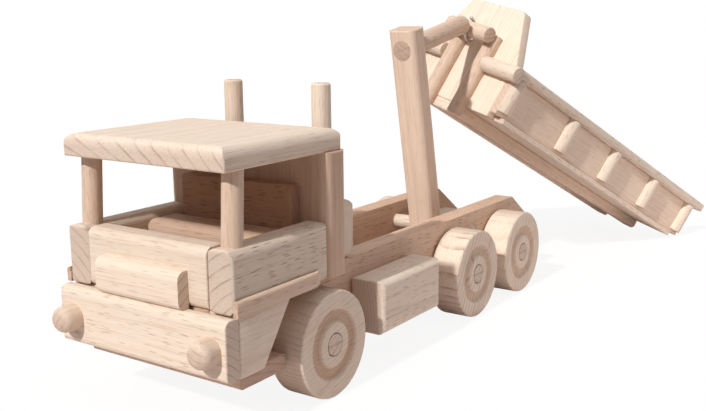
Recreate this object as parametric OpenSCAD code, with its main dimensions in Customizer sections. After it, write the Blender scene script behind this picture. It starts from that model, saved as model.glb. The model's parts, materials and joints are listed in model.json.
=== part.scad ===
// Wooden toy hook-lift truck: a cab on three axles, a swinging arm, and a container hooked on it by its bar.
// Millimetres, +X towards the front, +Y to the truck's left, +Z up, the floor at zero height.
// Every module is written with the front axle's middle at X = 0 and the truck's mid-plane at Y = 0.

/* [Chassis] */
// height of the rails' top, where cab, bumper and cheeks begin
deck = 65.5; // [62:0.5:67]
// height of the rails' underside
rail_bottom = 22; // [20:0.5:22.5]
// thickness of one rail
rail_width = 13.9; // [11:0.1:16]
// distance from the mid-plane to a rail's inner face
rail_inner = 25.6; // [25.4:0.1:26.5]
// where the slanted rear cut starts on the rails' top
rail_cut_x = -267.6; // [-290:0.1:-255]
// rear end of the rails
rail_rear_x = -299; // [-310:1:-294]
// height at which the slanted cut meets the rear end
rail_cut_z = 44; // [35:1:55]
// where the rails step up over the base plate
rail_step_x = 33; // [32.5:0.5:45]
// thickness of the base plate under the bumper
base_thick = 9; // [6.5:0.5:11.5]
// rounding along the base plate's front and rear edges
base_round = 3; // [1:0.5:4]
// half the width of the base plate
base_half = 54; // [45:0.5:58]
// front edge of the base plate
base_front = 69; // [60:0.5:73]
// top of the base plate, where rails, cheeks and bumper sit
base_top = 34; // [32:0.5:38]

/* [Bumper and lamps] */
// rear face of the bumper board
bumper_back = 74; // [70:0.5:76]
// thickness of the bumper board
bumper_thick = 9.8; // [8:0.1:14]
// half the width of the bumper and of the cheeks
bumper_half = 59.2; // [58:0.1:62]
// rounding along the bumper's long edges
bumper_round = 4; // [1:0.5:4.5]
// radius of a lamp dowel
lamp_radius = 7.2; // [5:0.1:8]
// how far a lamp stands out of the bumper
lamp_proud = 12; // [8:0.5:14]
// distance of a lamp from the mid-plane
lamp_y = 49; // [44:0.1:50]
// height of the lamps
lamp_z = 49.6; // [46:0.1:54]
// top rear end of a cheek
cheek_top_x = 34; // [33.5:0.5:40]
// bottom rear end of a cheek
cheek_foot_x = 56; // [46:0.5:60]

/* [Cab] */
// rear face of the doors and front face of the cab back
cab_rear = 0.8; // [-2:0.1:4]
// front face of the front panel and the doors
cab_front = 76.8; // [74:0.1:80]
// half the width of the cab
cab_half = 58.2; // [56.5:0.1:59]
// thickness of doors and front panel
door_thick = 16; // [15:0.5:17]
// top edge of the doors
door_top = 97.8; // [94:0.1:104]
// thickness of the cab back
back_thick = 18.8; // [12:0.1:20]
// rounding of the cab back's upright edges
back_round = 5; // [1:0.5:5.5]
// underside of the roof
roof_under = 134.7; // [125:0.1:145]
// thickness of the roof
roof_thick = 11.8; // [10.5:0.1:16]
// how far the roof reaches past the doors' fronts
roof_lip = 1; // [0:0.5:6]
// how far the roof's rear edge stays in front of the cab back's rear
roof_short = 2.4; // [0:0.1:8]
// half the width of the roof
roof_half = 56.3; // [55:0.1:58]
// rounding along the roof's upper edges
roof_round = 6; // [1:0.5:8]
// rounding along the roof's lower edges
roof_low = 1; // [0.5:0.5:3]
// rounding of the roof's upright corners
roof_corner = 1.5; // [1:0.5:5]
// rounding along the doors' top edges
door_round = 5; // [1:0.5:6]
// rounding of the doors' front, rear and lower edges
door_corner = 2; // [0.5:0.5:4]
// radius of a pillar dowel
pillar_radius = 5.4; // [3.5:0.1:6]
// how far the pillars lean back
pillar_lean = 3.5; // [0:0.5:6]
// distance from the cab's front to the pillars' middle
pillar_setback = 10.1; // [8:0.1:14]
// how deep a pillar sits in door and roof
pillar_seat = 6; // [3:0.5:8]
// thickness of the grille board
grille_thick = 7.2; // [5.5:0.1:9]
// rounding along the grille board's front edges
grille_round = 4.5; // [1:0.5:5]
// half the width of the grille board
grille_half = 29.5; // [20:0.5:36]
// height of the grille board
grille_high = 19.5; // [14:0.5:24]
// thickness of the cab floor
cab_floor_thick = 8; // [5:0.5:12]
// top of the seat
seat_top = 94; // [86:0.5:97]
// rear to front length of the seat
seat_deep = 26; // [18:0.5:34]
// thickness of the seat back
seat_back_thick = 8.2; // [5:0.1:11]
// top of the seat back
seat_back_top = 117; // [105:0.5:124]
// rounding of the seat back's corners
seat_back_round = 3; // [1:0.5:6]
// free space at each side of the seat back
seat_back_gap = 2; // [1:0.5:8]
// rounding of the seat's edges
seat_round = 6; // [1:0.5:6]

/* [Running strips] */
// rear end of the strips on the doors
strip_rear = 8; // [3:0.5:20]
// width of a strip up the door
strip_high = 8; // [6:0.5:12]
// how far a strip stands out of the door
strip_proud = 3; // [2:0.1:3.9]
// height of a strip's lower edge above the door's
strip_lift = 0.3; // [0.2:0.1:8]
// how far the strip's tapered rear end runs
strip_taper = 7; // [3:0.5:12]

/* [Stacks and side boxes] */
// rear to front length of the stack block
block_long = 31.5; // [24:0.5:33]
// half the width of the stack block
block_half = 40; // [36:0.5:48]
// top of the stack block
block_top = 100.5; // [90:0.5:110]
// rounding of the stack block's top edges
block_round = 5; // [1:0.5:6]
// radius of an exhaust stack
stack_radius = 5.5; // [3:0.5:6]
// distance of a stack behind the cab back's rear face
stack_back = 12; // [8:0.5:18]
// distance of a stack from the mid-plane
stack_y = 32.5; // [24:0.5:33.5]
// top of the stacks
stack_top = 168.5; // [150:0.5:185]
// how deep a stack sits in its block
stack_seat = 20; // [8:1:24]
// front end of the side boxes
box_front = -44.9; // [-50:0.1:-35]
// length of a side box
box_long = 67.8; // [50:0.1:82]
// how far a side box stands out from its rail
box_wide = 24; // [14:0.5:28]
// underside of the side boxes
box_bottom = 21.7; // [18:0.1:30]
// height of a side box
box_high = 32.2; // [20:0.1:35]
// rounding of a side box's edges
box_round = 4; // [1:0.5:6]

/* [Wheels] */
// radius of a wheel
wheel_radius = 30; // [28:0.5:31]
// width of a wheel
wheel_wide = 21.3; // [16:0.1:26]
// free space between wheel and rail
wheel_gap = 1; // [0.5:0.1:3]
// rounding of a wheel's rim edges
wheel_round = 3; // [1:0.5:5]
// outer radius of the ring turned into the wheel's face
ring_outer = 19.7; // [17:0.1:23]
// inner radius of that ring
ring_inner = 13.2; // [10:0.1:15]
// depth of that ring
ring_deep = 2; // [0.5:0.1:4]
// slope of the ring's walls, measured across the face
ring_slope = 1.4; // [0.3:0.1:1.6]
// radius of an axle
axle_radius = 6; // [4:0.5:6.5]
// middle axle's place
middle_axle_x = -168.4; // [-170:0.1:-150]
// rear axle's place
rear_axle_x = -240.8; // [-255:0.1:-236]
// thickness of the wedge in an axle's end
wedge_thick = 1.6; // [0.8:0.1:3]
// depth of that wedge
wedge_deep = 12; // [5:0.5:16]

/* [Lift arm] */
// place of the arm's pivot pin
pivot_x = -202; // [-203.5:0.1:-200.5]
// height of the pivot pin
pivot_z = 51.5; // [51:0.1:52.5]
// radius of the pivot pin
pin_radius = 5; // [3:0.5:6]
// how far the arm leans forward in the photographed pose
arm_lean = 11; // [9:0.5:13]
// width of the post across the truck
post_wide = 20.5; // [12:0.5:21]
// depth of the post
post_deep = 17; // [15:0.5:17]
// rounding of the post's long edges
post_round = 4; // [1:0.5:5]
// length of the post above the pivot
post_long = 147; // [143:0.5:150]
// length of the post below the pivot
post_foot = 9; // [6.5:0.5:11]
// length of the spacer behind the arm's foot
spacer_long = 31; // [20:0.5:40]
// free space between that spacer and the arm's foot
spacer_gap = 1; // [0.5:0.1:2]
// top of that spacer
spacer_top = 56.8; // [54:0.1:57.2]
// height of that spacer
spacer_high = 15.8; // [8:0.1:17]
// how far that spacer reaches past the mid-plane
spacer_past = 6.2; // [0:0.1:9]
// distance of the arm dowel's axis from the pivot
dowel_up = 133; // [132:0.1:135]
// radius of the arm dowel
dowel_radius = 7; // [5:0.5:7]
// distance from the post's middle to the dowel's end
dowel_reach = 79.5; // [77:0.1:83.5]
// how far the wedge in the dowel's front end is turned from level
dowel_wedge_turn = 21; // [0:1:45]
// radius of the hook's wire
wire_radius = 1.3; // [0.8:0.1:1.6]
// how much thicker the wire is at its bend and its blunted tip
wire_bead = 0.2; // [0.1:0.05:0.4]
// free space between the wire and the bar in it
wire_gap = 1.4; // [1:0.1:2]
// height of the hook's shank above the bar's middle
shank_up = 3; // [1:0.1:4]
// length of the shank inside the dowel
shank_seat = 14; // [6:1:25]
// how far round behind the bar the hook's tip climbs
tip_angle = 62; // [20:1:75]

/* [Container pose] */
// place of the lift bar's middle
bar_x = -268.4; // [-270:0.1:-267]
// height of the lift bar's middle
bar_z = 193.8; // [193.5:0.1:196]
// turn of the container about the upright
turn_yaw = -16.42; // [-18:0.1:-14]
// slope of the container, front end up
turn_pitch = 27.89; // [26:0.1:27.9]
// tilt of the container to its left
turn_roll = 12.54; // [10:0.1:12.6]

/* [Container] */
// height of the runners
runner_high = 8.3; // [6:0.1:10]
// width of one runner
runner_wide = 10.5; // [6:0.1:11.5]
// distance of a runner's outer face from the middle
runner_outer = 22; // [20:0.1:22.5]
// length of the runners
runner_long = 268; // [220:1:268]
// rounding of the runners' rear ends
runner_round = 4; // [1:0.5:4]
// thickness of the floor
floor_thick = 4.2; // [3:0.1:6]
// rear end of the floor
floor_long = 268.6; // [240:0.1:274]
// half the width of the floor
floor_half = 58; // [56:0.1:60]
// half the width across the side panels
tray_half = 55; // [53:0.1:56]
// thickness of the side panels
side_thick = 6.5; // [5:0.1:9]
// rear end of the side panels
side_long = 283.4; // [281.5:0.1:283.5]
// top of the container's sides
side_top = 50.4; // [47:0.1:54]
// thickness of the top rails
cap_thick = 7.3; // [4.5:0.1:9]
// rear end of the top rails
cap_long = 293.3; // [285:0.1:305]
// how far top rails and ribs stand out of the sides
cap_proud = 5.5; // [3:0.1:5.9]
// rounding of the top rails
cap_round = 2; // [0.5:0.1:3]
// thickness of the front wall
wall_thick = 9; // [6:0.5:12]
// half the width of the front wall where it rises above the sides
wall_foot_half = 51; // [49:0.1:54]
// top of the front wall
wall_top = 92.5; // [84:0.1:96]
// half the width of the front wall at its top
wall_top_half = 32; // [28:0.5:45]
// rounding of the front wall's top corners
wall_round = 5; // [3:0.5:10]
// thickness of the tail board
tail_thick = 9; // [6:0.5:12]
// height of the tail board
tail_high = 30; // [20:0.5:36]
// width of one rib along the side
rib_wide = 13.5; // [9:0.5:14]
// height of the ribs' feet above the floor
rib_foot = 3; // [0.5:0.5:6]
// place of the first rib's middle behind the front
rib_first = 7; // [7:0.1:9]
// place of the second rib's middle behind the front
rib_second = 82; // [60:1:100]
// place of the last rib's middle behind the front
rib_last = 276; // [265:0.1:276.5]
// ribs on each side
rib_count = 5; // [3:1:7]

/* [Container front] */
// inner edge of a front strip
front_strip_inner = 11.8; // [11.5:0.1:14]
// width of a front strip
front_strip_wide = 12.6; // [10:0.1:15]
// how far a front strip stands out of the wall
front_strip_proud = 8.6; // [8.2:0.1:9]
// top of the front strips
front_strip_top = 67; // [64:0.5:75]
// radius of the lift bar
bar_radius = 6; // [5:0.1:6]
// half the length of the lift bar
bar_half = 24; // [22:0.5:30]
// how far the lift bar's middle stands in front of the wall
bar_out = 14; // [13.7:0.1:14.2]
// height of the lift bar's middle above the runners' undersides
bar_up = 63.5; // [63.4:0.1:64.5]
// radius of the side pegs
peg_radius = 6; // [4:0.5:6.5]
// height of the side pegs
peg_up = 44; // [40:0.5:48]
// how far a side peg's middle stands in front of the wall
peg_out = 4.6; // [3:0.1:5]
// distance of a side peg's outer end from the middle
peg_end = 63; // [58:0.5:68]

/* [Fits] */
// radial clearance of anything that turns
run_gap = 0.1; // [0.05:0.01:0.1]
// radial clearance of a glued dowel in its hole
glue_gap = 0.05; // [0.02:0.01:0.1]
// softened edges of the boards
soft = 1; // [0.4:0.1:1.2]

/* [Hidden] */
$fn = 64;

// colours
beech = [0.87, 0.70, 0.52];
steel = [0.62, 0.62, 0.64];

// how far a cutting shape runs past what it cuts
past = 1;

// straight pieces that make up one rounded corner of the front wall
corner_steps = 10;

// places worked out from the sizes above
axle_z = wheel_radius;
rail_outer = rail_inner + rail_width;
wheel_in = rail_outer + wheel_gap;
wheel_out = wheel_in + wheel_wide;
bumper_front = bumper_back + bumper_thick;
back_rear = cab_rear - back_thick;
inside_half = cab_half - door_thick;
panel_rear = cab_front - door_thick;
pillar_x = cab_front - pillar_setback;
pillar_y = roof_half - pillar_radius - soft;
pillar_long = (roof_under - door_top) / cos(pillar_lean) + 2 * pillar_seat;
floor_top = deck + cab_floor_thick;
stack_x = back_rear - stack_back;
floor_up = runner_high + floor_thick;
cap_under = side_top - cap_thick;
side_inner = tray_half - side_thick;
rib_pitch = (rib_last - rib_second) / (rib_count - 2);
front_strip_middle = front_strip_inner + front_strip_wide / 2;
front_strip_outer = front_strip_inner + front_strip_wide;

// the bar's place seen from the pivot, along the post and square to it
bar_along = (bar_x - pivot_x) * sin(arm_lean) + (bar_z - pivot_z) * cos(arm_lean);
bar_reach = (pivot_x - bar_x) * cos(arm_lean) + (bar_z - pivot_z) * sin(arm_lean);
hook_radius = bar_radius + wire_gap + wire_radius;

// radius of the arm's rounded foot about its pivot
foot_radius = norm([post_deep / 2, soft]);

// turns a place on the container into a place on the truck
function turned_x(p) = [p[0], p[1] * cos(turn_roll) + p[2] * sin(turn_roll), p[2] * cos(turn_roll) - p[1] * sin(turn_roll)];
function turned_y(p) = [p[0] * cos(turn_pitch) - p[2] * sin(turn_pitch), p[1], p[2] * cos(turn_pitch) + p[0] * sin(turn_pitch)];
function turned_z(p) = [p[0] * cos(turn_yaw) - p[1] * sin(turn_yaw), p[1] * cos(turn_yaw) + p[0] * sin(turn_yaw), p[2]];
function on_truck(p) = turned_z(turned_y(turned_x(p - [bar_out, 0, bar_up]))) + [bar_x, 0, bar_z];

// the middle of the whole toy's box, which becomes the origin
tail_right = on_truck([-cap_long, -tray_half - cap_proud, side_top]);
tail_left = on_truck([-cap_long, tray_half + cap_proud, side_top]);
front_right = on_truck([-rib_first, -tray_half - cap_proud, floor_up + rib_foot]);
middle_x = (bumper_front + lamp_proud + tail_right[0]) / 2;
middle_y = (tail_left[1] + front_right[1]) / 2;

// moves the truck so the middle of the whole toy stands on the origin
module placed() {
  translate([-middle_x, -middle_y, 0])
    children();
}

// takes the container's own places to where it hangs
module hung() {
  placed()
    translate([bar_x, 0, bar_z])
      rotate([-turn_roll, -turn_pitch, turn_yaw])
        translate([-bar_out, 0, -bar_up])
          children();
}

// takes the arm's own places, pivot at the origin and post upright, to where it leans
module leaning() {
  placed()
    translate([pivot_x, 0, pivot_z])
      rotate([0, arm_lean, 0])
        children();
}

// a rectangle with rounded corners, its lower left corner at the origin
module soft_rect(w, h, r) {
  translate([r, 0])
    square([w - 2 * r, h]);
  translate([0, r])
    square([w, h - 2 * r]);
  for (x = [r, w - r], y = [r, h - r])
    translate([x, y])
      circle(r);
}

// turns a flat shape up so its first axis runs along Y, its second along Z, and it is as long as given along X
module along_x(long) {
  rotate([90, 0, 90])
    linear_extrude(long)
      children();
}

// turns a flat shape up so its first axis runs along X, its second along Z, and it is as long as given along Y
module along_y(long) {
  translate([0, long, 0])
    rotate([90, 0, 0])
      linear_extrude(long)
        children();
}

// a board whose edges along X, Y and Z are rounded by the three radii, its lowest corner at the origin
module board(s, rx = soft, ry = soft, rz = soft) {
  intersection() {
    along_x(s[0])
      soft_rect(s[1], s[2], rx);
    along_y(s[1])
      soft_rect(s[0], s[2], ry);
    linear_extrude(s[2])
      soft_rect(s[0], s[1], rz);
  }
}

// a rod across the truck from one side to the other
module cross_rod(r, from, to) {
  translate([0, to, 0])
    rotate([90, 0, 0])
      cylinder(r = r, h = to - from);
}

// the flat shape of a half-round strip of the given width and height, its flat side on the first axis
module half_round(wide, high) {
  r = (wide * wide / 4 + high * high) / (2 * high);
  intersection() {
    translate([0, high - r])
      circle(r);
    translate([-wide / 2, 0])
      square([wide, high]);
  }
}

// a rectangle whose two far corners are rounded, its lower left corner at the origin
module far_round_rect(w, h, r) {
  intersection() {
    square([w, h]);
    union() {
      square([w - r, h]);
      translate([0, r])
        square([w, h - 2 * r]);
      for (y = [r, h - r])
        translate([w - r, y])
          circle(r);
    }
  }
}

// one chassis rail, its inner face on the mid-plane
module rail() {
  difference() {
    along_y(rail_width)
      polygon([[bumper_back, base_top], [bumper_back, deck], [rail_cut_x, deck], [rail_rear_x, rail_cut_z],
        [rail_rear_x, rail_bottom], [rail_step_x, rail_bottom], [rail_step_x, base_top]]);
    for (x = [0, middle_axle_x, rear_axle_x])
      translate([x, 0, axle_z])
        cross_rod(axle_radius + run_gap, -past, rail_width + past);
    translate([pivot_x, 0, pivot_z])
      cross_rod(pin_radius + glue_gap, -past, rail_width + past);
  }
}

module rail_left() {
  color(beech)
    placed()
      translate([0, rail_inner, 0])
        rail();
}

module rail_right() {
  color(beech)
    placed()
      translate([0, -rail_outer, 0])
        rail();
}

module base_plate() {
  color(beech)
    placed()
      translate([rail_step_x, -base_half, base_top - base_thick])
        board([base_front - rail_step_x, 2 * base_half, base_thick], soft, base_round, soft);
}

module bumper() {
  color(beech)
    placed()
      difference() {
        translate([bumper_back, -bumper_half, base_top])
          board([bumper_thick, 2 * bumper_half, deck - base_top], soft, bumper_round, soft);
        for (y = [-lamp_y, lamp_y])
          translate([bumper_back - past, y, lamp_z])
            rotate([0, 90, 0])
              cylinder(r = lamp_radius + glue_gap, h = bumper_thick + 2 * past);
      }
}

// one lamp dowel with a domed front, its back at the origin
module lamp() {
  dome = lamp_radius;
  rotate([0, 90, 0]) {
    cylinder(r = lamp_radius, h = bumper_thick + lamp_proud - dome);
    translate([0, 0, bumper_thick + lamp_proud - dome])
      sphere(dome);
  }
}

module lamps() {
  color(beech)
    placed()
      for (y = [-lamp_y, lamp_y])
        translate([bumper_back, y, lamp_z])
          lamp();
}

// one trapezoid cheek, its inner face on the mid-plane
module cheek() {
  along_y(bumper_half - rail_outer)
    polygon([[cheek_foot_x, base_top], [bumper_back, base_top], [bumper_back, deck], [cheek_top_x, deck]]);
}

module cheek_left() {
  color(beech)
    placed()
      translate([0, rail_outer, 0])
        cheek();
}

module cheek_right() {
  color(beech)
    placed()
      translate([0, -bumper_half, 0])
        cheek();
}

module front_panel() {
  color(beech)
    placed()
      translate([panel_rear, -inside_half, deck])
        board([door_thick, 2 * inside_half, door_top - deck], soft, door_round, soft);
}

module grille() {
  color(beech)
    placed()
      translate([cab_front, -grille_half, deck])
        along_y(2 * grille_half)
          far_round_rect(grille_thick, grille_high, grille_round);
}

// one pillar from inside the door to inside the roof, made larger all round by the gap
module pillar(y, gap = 0) {
  translate([pillar_x, y, door_top])
    rotate([0, -pillar_lean, 0])
      translate([0, 0, -pillar_seat - gap])
        cylinder(r = pillar_radius + gap, h = pillar_long + 2 * gap);
}

// one door, its inner face on the mid-plane, with the pillar's hole in its top
module door(hole_y) {
  difference() {
    translate([cab_rear, 0, deck])
      board([cab_front - cab_rear, door_thick, door_top - deck], door_round, door_corner, door_corner);
    pillar(hole_y, glue_gap);
  }
}

module door_left() {
  color(beech)
    placed()
      translate([0, inside_half, 0])
        door(pillar_y - inside_half);
}

module door_right() {
  color(beech)
    placed()
      translate([0, -cab_half, 0])
        door(cab_half - pillar_y);
}

// one running strip standing out towards +Y from the mid-plane
module running_strip() {
  difference() {
    translate([strip_rear, 0, deck + strip_lift + strip_high / 2])
      along_x(cab_front - strip_rear)
        rotate(-90)
          half_round(strip_high, strip_proud);
    translate([strip_rear, 0, 0])
      rotate([0, 0, atan(strip_proud / strip_taper)])
        translate([-strip_taper, 0, deck])
          cube([strip_taper + norm([strip_taper, strip_proud]) + past, strip_taper, strip_lift + strip_high + past]);
  }
}

module strip_left() {
  color(beech)
    placed()
      translate([0, cab_half, 0])
        running_strip();
}

module strip_right() {
  color(beech)
    placed()
      translate([0, -cab_half, 0])
        mirror([0, 1, 0])
          running_strip();
}

module pillar_left() {
  color(beech)
    placed()
      pillar(pillar_y);
}

module pillar_right() {
  color(beech)
    placed()
      pillar(-pillar_y);
}

module cab_back() {
  color(beech)
    placed()
      translate([back_rear, -cab_half, deck])
        board([back_thick, 2 * cab_half, roof_under - deck], soft, soft, back_round);
}

// the roof, its upper edges rounded more than its lower ones
module roof() {
  long = cab_front + roof_lip - back_rear - roof_short;
  color(beech)
    placed()
      difference() {
        translate([back_rear + roof_short, -roof_half, roof_under])
          intersection() {
            board([long, 2 * roof_half, roof_thick], roof_low, roof_low, roof_corner);
            translate([0, 0, -roof_round])
              board([long, 2 * roof_half, roof_thick + roof_round], roof_round, roof_round, roof_corner);
          }
        for (y = [-pillar_y, pillar_y])
          pillar(y, glue_gap);
      }
}

module cab_floor() {
  color(beech)
    placed()
      translate([cab_rear, -inside_half, deck])
        board([panel_rear - cab_rear, 2 * inside_half, cab_floor_thick]);
}

module seat() {
  color(beech)
    placed()
      translate([cab_rear + seat_back_thick, -inside_half, floor_top])
        board([seat_deep, 2 * inside_half, seat_top - floor_top], soft, seat_round, soft);
}

module seat_back() {
  color(beech)
    placed()
      translate([cab_rear, -inside_half + seat_back_gap, floor_top])
        board([seat_back_thick, 2 * (inside_half - seat_back_gap), seat_back_top - floor_top],
          seat_back_round, soft, soft);
}

module stack_block() {
  color(beech)
    placed()
      difference() {
        translate([back_rear - block_long, -block_half, deck])
          board([block_long, 2 * block_half, block_top - deck], block_round, block_round, soft);
        for (y = [-stack_y, stack_y])
          translate([stack_x, y, block_top - stack_seat])
            cylinder(r = stack_radius + glue_gap, h = stack_seat + past);
      }
}

// one exhaust stack with a softened top
module stack(y) {
  translate([stack_x, y, block_top - stack_seat]) {
    cylinder(r = stack_radius, h = stack_top - block_top + stack_seat - soft);
    translate([0, 0, stack_top - block_top + stack_seat - soft])
      cylinder(r1 = stack_radius, r2 = stack_radius - soft, h = soft);
  }
}

module stack_left() {
  color(beech)
    placed()
      stack(stack_y);
}

module stack_right() {
  color(beech)
    placed()
      stack(-stack_y);
}

module box_left() {
  color(beech)
    placed()
      translate([box_front - box_long, rail_outer, box_bottom])
        board([box_long, box_wide, box_high], box_round, soft, box_round);
}

module box_right() {
  color(beech)
    placed()
      translate([box_front - box_long, -rail_outer - box_wide, box_bottom])
        board([box_long, box_wide, box_high], box_round, soft, box_round);
}

// the spacer behind the arm's foot, fixed to the left rail
module arm_spacer() {
  color(beech)
    placed()
      translate([pivot_x - foot_radius - spacer_gap - spacer_long, -spacer_past, spacer_top - spacer_high])
        board([spacer_long, rail_inner + spacer_past, spacer_high]);
}

module pivot_pin() {
  color(beech)
    placed()
      translate([pivot_x, 0, pivot_z])
        cross_rod(pin_radius, -rail_outer, rail_outer);
}

// the thin wedge in a dowel's end, the dowel's axis along +Z and its end at the origin
module wedge(r) {
  intersection() {
    translate([0, 0, -wedge_deep])
      cylinder(r = r, h = wedge_deep);
    translate([-r, -wedge_thick / 2, -wedge_deep])
      cube([2 * r, wedge_thick, wedge_deep]);
  }
}

// puts something made at a dowel's end on both ends of an axle
module axle_ends(x) {
  for (side = [-1, 1])
    translate([x, side * wheel_out, axle_z])
      rotate([-90 * side, 0, 0])
        children();
}

// one axle with a slot for the wedge in each end
module axle(x) {
  difference() {
    translate([x, 0, axle_z])
      cross_rod(axle_radius, -wheel_out, wheel_out);
    axle_ends(x)
      translate([-axle_radius - past, -wedge_thick / 2 - glue_gap, -wedge_deep - glue_gap])
        cube([2 * axle_radius + 2 * past, wedge_thick + 2 * glue_gap, wedge_deep + past]);
  }
}

// the flat shape of half a wheel, its inner face on the first axis
module wheel_half() {
  difference() {
    union() {
      translate([0, wheel_round])
        square([wheel_radius, wheel_wide - 2 * wheel_round]);
      square([wheel_radius - wheel_round, wheel_wide]);
      for (y = [wheel_round, wheel_wide - wheel_round])
        translate([wheel_radius - wheel_round, y])
          circle(wheel_round);
    }
    translate([-past, -past])
      square([axle_radius + glue_gap + past, wheel_wide + 2 * past]);
    polygon([[ring_inner, wheel_wide + past], [ring_inner, wheel_wide],
      [ring_inner + ring_slope, wheel_wide - ring_deep], [ring_outer - ring_slope, wheel_wide - ring_deep],
      [ring_outer, wheel_wide], [ring_outer, wheel_wide + past]]);
  }
}

// one wheel, its ringed face towards the side given as -1 or 1
module wheel(x, side) {
  translate([x, side * wheel_in, axle_z])
    rotate([-90 * side, 0, 0])
      rotate_extrude()
        wheel_half();
}

module front_axle() {
  color(beech)
    placed()
      axle(0);
}

module front_wheel_left() {
  color(beech)
    placed()
      wheel(0, 1);
}

module front_wheel_right() {
  color(beech)
    placed()
      wheel(0, -1);
}

module front_wedges() {
  color(beech)
    placed()
      axle_ends(0)
        wedge(axle_radius);
}

module middle_axle() {
  color(beech)
    placed()
      axle(middle_axle_x);
}

module middle_wheel_left() {
  color(beech)
    placed()
      wheel(middle_axle_x, 1);
}

module middle_wheel_right() {
  color(beech)
    placed()
      wheel(middle_axle_x, -1);
}

module middle_wedges() {
  color(beech)
    placed()
      axle_ends(middle_axle_x)
        wedge(axle_radius);
}

module rear_axle() {
  color(beech)
    placed()
      axle(rear_axle_x);
}

module rear_wheel_left() {
  color(beech)
    placed()
      wheel(rear_axle_x, 1);
}

module rear_wheel_right() {
  color(beech)
    placed()
      wheel(rear_axle_x, -1);
}

module rear_wedges() {
  color(beech)
    placed()
      axle_ends(rear_axle_x)
        wedge(axle_radius);
}

// the post with a rounded foot, the pin's hole and the dowel's hole
module arm_post() {
  color(beech)
    leaning()
      difference() {
        intersection() {
          translate([-post_deep / 2, -post_wide / 2, -post_foot])
            board([post_deep, post_wide, post_long + post_foot], soft, soft, post_round);
          union() {
            translate([-post_deep, -post_wide, 0])
              cube([2 * post_deep, 2 * post_wide, post_long + past]);
            cross_rod(foot_radius, -post_wide, post_wide);
          }
        }
        cross_rod(pin_radius + run_gap, -post_wide, post_wide);
        translate([-post_deep, 0, dowel_up])
          rotate([0, 90, 0])
            cylinder(r = dowel_radius + glue_gap, h = 2 * post_deep);
      }
}

// the dowel through the post, with the wedge's slot in front and the shank's hole behind
module arm_dowel() {
  color(beech)
    leaning()
      difference() {
        translate([-dowel_reach, 0, dowel_up])
          rotate([0, 90, 0])
            cylinder(r = dowel_radius, h = dowel_reach + post_deep / 2);
        translate([post_deep / 2, 0, dowel_up])
          rotate([dowel_wedge_turn, 0, 0])
            translate([-wedge_deep - glue_gap, -dowel_radius - past, -wedge_thick / 2 - glue_gap])
              cube([wedge_deep + past, 2 * dowel_radius + 2 * past, wedge_thick + 2 * glue_gap]);
        translate([-dowel_reach - past, 0, bar_along + shank_up])
          rotate([0, 90, 0])
            cylinder(r = wire_radius + glue_gap, h = shank_seat + past);
      }
}

module arm_wedge() {
  color(beech)
    leaning()
      translate([post_deep / 2, 0, dowel_up])
        rotate([dowel_wedge_turn, 0, 0])
          rotate([0, 90, 0])
            rotate([0, 0, 90])
              wedge(dowel_radius);
}

// the wire hook: a shank in the dowel, then a bend down in front of the bar, under it and up behind it
module lift_hook() {
  shank_x = sqrt(hook_radius * hook_radius - shank_up * shank_up);
  lead = asin(shank_up / hook_radius);
  behind = 180 + tip_angle;
  color(steel)
    leaning()
      translate([-bar_reach, 0, bar_along]) {
        translate([shank_x, 0, shank_up])
          rotate([0, 90, 0])
            cylinder(r = wire_radius, h = bar_reach - shank_x - dowel_reach + shank_seat);
        translate([shank_x, 0, shank_up])
          sphere(wire_radius + wire_bead);
        rotate([90, 0, 0])
          rotate([0, 0, -behind])
            rotate_extrude(angle = behind + lead)
              translate([hook_radius, 0])
                circle(wire_radius);
        translate([-hook_radius * cos(tip_angle), 0, hook_radius * sin(tip_angle)])
          sphere(wire_radius + wire_bead);
      }
}

module tray_floor() {
  color(beech)
    hung()
      translate([-floor_long, -floor_half, runner_high])
        board([floor_long - wall_thick, 2 * floor_half, floor_thick]);
}

// the flat shape of the front wall: between the sides below, over them above, with rounded upper corners
module wall_shape() {
  c = [wall_top_half - wall_round, wall_top - wall_round];
  v = [wall_foot_half, side_top] - c;
  shoulder = atan2(v[1], v[0]) + acos(wall_round / norm(v));
  corner = [for (i = [0 : corner_steps]) shoulder + i * (90 - shoulder) / corner_steps];
  left = [for (turn = corner) c + wall_round * [cos(turn), sin(turn)]];
  half = concat([[side_inner, runner_high], [side_inner, side_top], [wall_foot_half, side_top]], left);
  other_half = [for (i = [len(half) - 1 : -1 : 0]) [-half[i][0], half[i][1]]];
  polygon(concat(half, other_half));
}

module tray_front() {
  color(beech)
    hung()
      translate([-wall_thick, 0, 0])
        along_x(wall_thick)
          wall_shape();
}

module tray_tail() {
  color(beech)
    hung()
      translate([-floor_long, -side_inner, floor_up])
        board([tail_thick, 2 * side_inner, tail_high]);
}

// one side panel, its inner face on the mid-plane
module side_panel() {
  translate([-side_long, 0, floor_up])
    board([side_long, side_thick, cap_under - floor_up]);
}

module side_left() {
  color(beech)
    hung()
      translate([0, side_inner, 0])
        side_panel();
}

module side_right() {
  color(beech)
    hung()
      translate([0, -tray_half, 0])
        side_panel();
}

// one top rail, its inner edge on the mid-plane
module cap() {
  translate([-cap_long, 0, cap_under])
    board([cap_long, side_thick + cap_proud, cap_thick], cap_round, cap_round, cap_round);
}

module cap_left() {
  color(beech)
    hung()
      translate([0, side_inner, 0])
        cap();
}

module cap_right() {
  color(beech)
    hung()
      translate([0, -tray_half - cap_proud, 0])
        cap();
}

// the row of half-round ribs standing out towards +Y from the mid-plane
module ribs() {
  rib_places = [rib_first, for (i = [0 : rib_count - 2]) rib_second + i * rib_pitch];
  for (x = rib_places)
    translate([-x, 0, floor_up + rib_foot])
      linear_extrude(cap_under - floor_up - rib_foot)
        half_round(rib_wide, cap_proud);
}

module ribs_left() {
  color(beech)
    hung()
      translate([0, tray_half, 0])
        ribs();
}

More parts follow.
